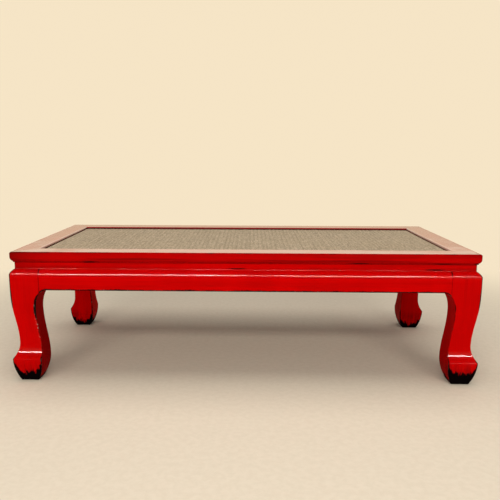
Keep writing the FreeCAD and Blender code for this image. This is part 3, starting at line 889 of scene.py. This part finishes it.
class Paint(Graph):
    """A material under construction on its Principled shader."""

    def __init__(self, name):
        self.material = bpy.data.materials.new(name)
        super().__init__(self.material)
        self.shader = self.tree.nodes["Principled BSDF"]
        self.place = self.node("TexCoord").outputs["Object"]

    def surface(self, **values):
        """Set inputs of the Principled shader."""
        self.fill(self.shader, values)

    def add(self, *values):
        """Sum of several values."""
        return self.fold("ADD", values)

    def times(self, *values):
        """Product of several values."""
        return self.fold("MULTIPLY", values)

    def mask(self, name):
        """A named point mask of the mesh."""
        node = self.node("Attribute")
        node.attribute_name = name
        return node.outputs["Fac"]

    def noise(self, scale, detail, roughness, offset=0.0):
        """Noise between 0 and 1, with its own number of waves per metre along each axis."""
        waves = scale if isinstance(scale, tuple) else (scale,) * 3
        mapping = self.node("Mapping", self.place, Location=(offset,) * 3, Scale=waves)
        node = self.node("TexNoise", mapping.outputs[0], Scale=1.0, Detail=detail, Roughness=roughness)
        return node.outputs["Fac"]

    def step(self, value, low, high, start=0.0, end=1.0):
        """Smooth change from start to end as value goes from low to high."""
        node = self.node("MapRange", Value=value, From_Min=low, From_Max=high, To_Min=start, To_Max=end)
        node.interpolation_type = "SMOOTHSTEP"
        return node.outputs["Result"]

    def spread(self, noise, start=0.0, end=1.0):
        """Noise with its usual range stretched from start to end."""
        return self.step(noise, *NOISE_RANGE, start, end)

    def blend(self, share, first, second):
        """Mix of two colours."""
        node = self.node("Mix")
        node.data_type = "RGBA"
        self.fill(node, {"Factor": share, "A": first, "B": second})
        return node.outputs["Result"]

    def bump(self, *layers):
        """Stack bumps, each a height and its depth in metres, and wire them to the shader."""
        normal = None
        for height, depth in layers:
            node = self.node("Bump", Strength=1.0, Distance=depth, Height=height)
            if normal is not None:
                self.put(node.inputs["Normal"], normal)
            normal = node.outputs["Normal"]
        self.put(self.shader.inputs["Normal"], normal)


def lacquer(name, grain, kind="glossy", leg=False):
    """Red lacquer over a black ground, worn at its arrises, brushed along one axis, with painted shade
    from its masks.
    """
    paint = Paint(name)
    fine = tuple(14.0 if axis == grain else 420.0 for axis in "xyz")
    long = tuple(2.2 if axis == grain else 65.0 for axis in "xyz")
    streaks = paint.noise(long, 4.0, 0.55, 3.0)
    brush = paint.noise(fine, 3.0, 0.6)
    cloud = paint.noise(9.0, 2.0, 0.5, 11.0)
    ragged = paint.noise(160.0, 3.0, 0.6, 5.0)

    # the unpolished inner faces take lighter colours, as painted light
    tones = (MATT_DEEP_PAINTED_LIGHT, MATT_BRIGHT_PAINTED_LIGHT) if kind == "matt" else (LACQUER_DEEP, LACQUER_BRIGHT)
    colour = paint.blend(paint.spread(cloud), *tones)
    # patina streaks, which on the ovolo are also painted shade
    patina_and_shade = paint.times(paint.mask("streak"), paint.step(streaks, 0.42, 0.68))
    colour = paint.blend(paint.math("MINIMUM", patina_and_shade, 0.85), colour, LACQUER_PATINA_AND_SHADE)
    fine_tone = paint.step(brush, 0.35, 0.75, 0.0, 0.16)
    colour = paint.blend(fine_tone, colour, LACQUER_PATINA_AND_SHADE)
    colour = paint.blend(paint.mask("shade"), colour, LACQUER_SHADE)
    # crevices: grime and stains, together with painted shade in creases and the recess
    crevice = paint.step(paint.add(paint.mask("grime_and_shade"), paint.times(ragged, 0.4)), 0.55, 1.0)
    colour = paint.blend(crevice, colour, LACQUER_GRIME_AND_SHADE)
    gaps = paint.noise(30.0, 2.0, 0.5, 17.0)
    worn = paint.add(paint.mask("edge"), paint.times(ragged, 0.5), paint.times(gaps, 0.9))
    worn = paint.step(worn, 1.02, 1.4)
    colour = paint.blend(worn, colour, LACQUER_GROUND)
    bare = paint.times(paint.step(paint.mask("edge"), 0.55, 0.75),
                       paint.step(paint.mask("edge"), 0.8, 0.95, 0.5, 0.0))
    bare = paint.largest(bare, paint.mask("speck"))
    speck = paint.times(paint.step(paint.noise(330.0, 2.0, 0.5, 23.0), 0.62, 0.68), bare)
    colour = paint.blend(speck, colour, BARE_WOOD)
    dull = paint.largest(worn, crevice, paint.times(patina_and_shade, 0.6))
    if leg:
        flames = paint.noise((105.0, 105.0, 26.0), 3.0, 0.6, 7.0)
        level = paint.add(paint.mask("soot"), paint.times(flames, 3.0), -1.5)
        black = paint.step(level, 1.75, 2.2)
        colour = paint.blend(black, colour, SOOT_BLACK)
        dull = paint.largest(dull, black)

    roughness = paint.add(paint.spread(cloud, 0.12, 0.17), paint.times(brush, 0.05))
    if kind == "polished":
        paint.surface(IOR=POLISHED_IOR, Coat_Weight=1.0)
    else:
        roughness = paint.add(roughness, paint.times(dull, 0.3))
        paint.surface(IOR=MATT_IOR if kind == "matt" else LACQUER_IOR, Specular_Tint=RED_GLOSS)
    if kind == "glossy":
        uneven = 1.0 if leg else paint.step(gaps, 0.35, 0.6, 1.0, 0.6)
        paint.surface(Coat_Weight=paint.times(paint.mask("gloss"), uneven,
                                              paint.math("SUBTRACT", 1.0, dull)))
    paint.surface(Base_Color=colour, Roughness=roughness, Coat_IOR=COAT_IOR, Coat_Roughness=0.03)
    paint.bump((cloud, 0.0006), (ragged, 0.00003), (brush, 0.000012), (worn, -0.00015))
    return paint.material


def woven_fibre():
    """Split reed strands, greyish and dry, with painted shade in the gaps and on the strands that pass
    under.
    """
    paint = Paint("woven_fibre")
    per_strand = 1000.0 / STRAND_PITCH
    strand_tone = paint.noise((per_strand * 0.8, 60.0, 1.0), 2.0, 0.7)
    fibre = paint.noise((1600.0, 40.0, 40.0), 3.0, 0.6, 5.0)
    band = paint.noise((14.0, 22.0, 1.0), 4.0, 0.6, 9.0)
    tone = paint.add(paint.mask("tone"), paint.spread(strand_tone, -0.2, 0.2))
    colour = paint.blend(tone, REED_DARK, REED_LIGHT)
    colour = paint.blend(paint.spread(band, 0.0, 0.4), colour, REED_WARM)
    colour = paint.blend(paint.spread(fibre, 0.0, 0.22), colour, REED_DARK)
    # gaps and strands that pass under get painted shade
    under = paint.step(paint.mask("over"), 0.0, 0.9, 0.5, 0.0)
    colour = paint.blend(under, colour, REED_GAP_SHADE)
    paint.surface(Base_Color=colour, Roughness=paint.spread(fibre, 0.55, 0.7), IOR=REED_IOR)
    paint.bump((fibre, 0.00012), (strand_tone, 0.0002))
    return paint.material


def plain_wood():
    """Dark unpainted softwood of the underside."""
    paint = Paint("plain_wood")
    grain = paint.noise((4.0, 95.0, 95.0), 4.0, 0.65)
    pores = paint.noise((25.0, 900.0, 900.0), 2.0, 0.6, 4.0)
    patch = paint.noise(7.0, 3.0, 0.6, 8.0)
    colour = paint.blend(paint.spread(grain), WOOD_DARK, WOOD_LIGHT)
    colour = paint.blend(paint.step(patch, 0.35, 0.75, 0.0, 0.45), colour, WOOD_DARK)
    colour = paint.blend(paint.step(pores, 0.55, 0.75, 0.0, 0.5), colour, WOOD_DARK)
    paint.surface(Base_Color=colour, Roughness=paint.spread(grain, 0.5, 0.7))
    paint.bump((grain, 0.0004), (pores, 0.0002))
    return paint.material


# The table

polished = {axis: lacquer("polished_lacquer_" + axis, axis, "polished") for axis in "xy"}
finish = {axis: lacquer("red_lacquer_" + axis, axis, leg=axis == "z") for axis in "xyz"}
matt = lacquer("matt_lacquer_painted_light_z", "z", "matt", leg=True)
gleaming = []               # pieces whose arrises catch the long strip of light
for side in SIDES:
    axis = "x" if side in ("front", "back") else "y"
    rail = make_rail(side, finish[axis], polished[axis])
    waist = make_waist(side, finish[axis])
    apron = make_apron(side, finish[axis])
    dress(rail, "frame_rail_" + side)
    dress(waist, "waist_" + side)
    dress(apron, "apron_" + side)
    gleaming += [waist, apron]
for corner in LEG_LOOKS:
    leg = make_leg(corner, finish["z"], matt)
    dress(leg, "leg_" + corner)
    gleaming.append(leg)
mat_piece = make_mat(woven_fibre())
dress(mat_piece, "woven_mat")
wood = plain_wood()
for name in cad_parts:
    if name.startswith(("panel_board", "brace")):
        node = bpy.data.objects[name]
        node.data.materials.clear()
        node.data.materials.append(wood)


# Setting: floor, background, light and camera


def make_floor():
    """Plain pale floor, which gives way to the background's colour far from the table."""
    corners = [(-1, -1, 0), (1, -1, 0), (1, 1, 0), (-1, 1, 0)]
    mesh = bpy.data.meshes.new("floor")
    mesh.from_pydata(np.array(corners) * FLOOR_REACH, [], [(0, 1, 2, 3)])
    paint = Paint("floor")
    grain = paint.noise(60.0, 3.0, 0.6)
    paint.surface(Base_Color=paint.blend(paint.spread(grain), FLOOR_COLOUR, FLOOR_SHADE),
                  Roughness=0.75, Specular_IOR_Level=0.0)
    far = paint.node("VectorMath", paint.place)
    far.operation = "LENGTH"
    path = paint.node("LightPath").outputs
    seen = paint.largest(path["Is Camera Ray"], path["Is Glossy Ray"], path["Is Transmission Ray"])
    share = paint.times(seen, paint.step(far.outputs["Value"], *FLOOR_FADE))
    glow = paint.node("Emission", BACKGROUND)
    mix = paint.node("MixShader", share, paint.shader.outputs[0], glow.outputs[0])
    paint.put(paint.tree.nodes["Material Output"].inputs["Surface"], mix.outputs[0])
    floor = finished("floor", mesh, {}, paint.material)


def make_world():
    """Dim even light, with a pale background for the camera and in reflections."""
    world = bpy.data.worlds.new("studio")
    bpy.context.scene.world = world
    graph = Graph(world)
    place = graph.node("TexCoord").outputs["Generated"]
    split = graph.node("SeparateXYZ", place)
    shade = graph.node("ValToRGB", split.outputs["Z"])
    stops = shade.color_ramp.elements
    for index, (position, colour) in enumerate(MIRRORED_BANDS):
        stop = stops[index] if index < len(stops) else stops.new(position)
        stop.position = position
        stop.color = colour
    mirrored = graph.node("Background", shade.outputs["Color"])
    seen = graph.node("Background", BACKGROUND)
    ambient = graph.node("Background", AMBIENT_COLOUR, AMBIENT)
    path = graph.node("LightPath").outputs
    reflected = graph.largest(path["Is Glossy Ray"], path["Is Transmission Ray"])
    unseen = graph.node("MixShader", reflected, ambient.outputs[0], mirrored.outputs[0])
    whole = graph.node("MixShader", path["Is Camera Ray"], unseen.outputs[0], seen.outputs[0])
    graph.put(graph.tree.nodes["World Output"].inputs["Surface"], whole.outputs[0])


def add_light(name, place, target, size, power, mirrored=True, glossy_on=()):
    """Rectangular area light that the camera doesn't see, and gloss doesn't either unless mirrored.

    One that is glossy on some pieces shows in their gloss alone and lights nothing.
    """
    light = bpy.data.lights.new(name, "AREA")
    light.shape = "RECTANGLE"
    light.size, light.size_y = size
    light.energy = power
    light.color = LAMP_COLOUR
    lamp = linked(name, light)
    lamp.location = place
    lamp.rotation_euler = (Vector(target) - Vector(place)).to_track_quat("-Z", "Y").to_euler()
    lamp.visible_camera = False
    lamp.visible_glossy = mirrored
    if glossy_on:
        lamp.visible_diffuse = False
        receivers = bpy.data.collections.new(name + "_receivers")
        for piece in glossy_on:
            receivers.objects.link(piece)
        lamp.light_linking.receiver_collection = receivers


def add_camera():
    """Camera that takes the photograph's view."""
    camera = linked("camera", bpy.data.cameras.new("camera"))
    bpy.context.scene.camera = camera
    camera.data.sensor_width = SENSOR_WIDTH
    camera.data.lens = CAMERA_LENS
    camera.data.shift_x = CAMERA_SHIFT
    camera.data.clip_start, camera.data.clip_end = CAMERA_CLIP
    ahead = Vector((math.sin(CAMERA_YAW) * math.cos(CAMERA_PITCH),
                    math.cos(CAMERA_YAW) * math.cos(CAMERA_PITCH), -math.sin(CAMERA_PITCH)))
    level = Vector((math.cos(CAMERA_YAW), -math.sin(CAMERA_YAW), 0))
    upright = level.cross(ahead)
    right = math.cos(CAMERA_ROLL) * level + math.sin(CAMERA_ROLL) * upright
    above = math.cos(CAMERA_ROLL) * upright - math.sin(CAMERA_ROLL) * level
    turn = Matrix((right, above, -ahead)).transposed().to_4x4()
    camera.matrix_world = Matrix.Translation(CAMERA_PLACE) @ turn


make_floor()
make_world()
add_light("window", *WINDOW, mirrored=False)
add_light("window_gleam", *GLEAM, glossy_on=gleaming)
add_light("overhead", *OVERHEAD, mirrored=False)
add_camera()
bpy.context.scene.view_settings.view_transform = "Standard"
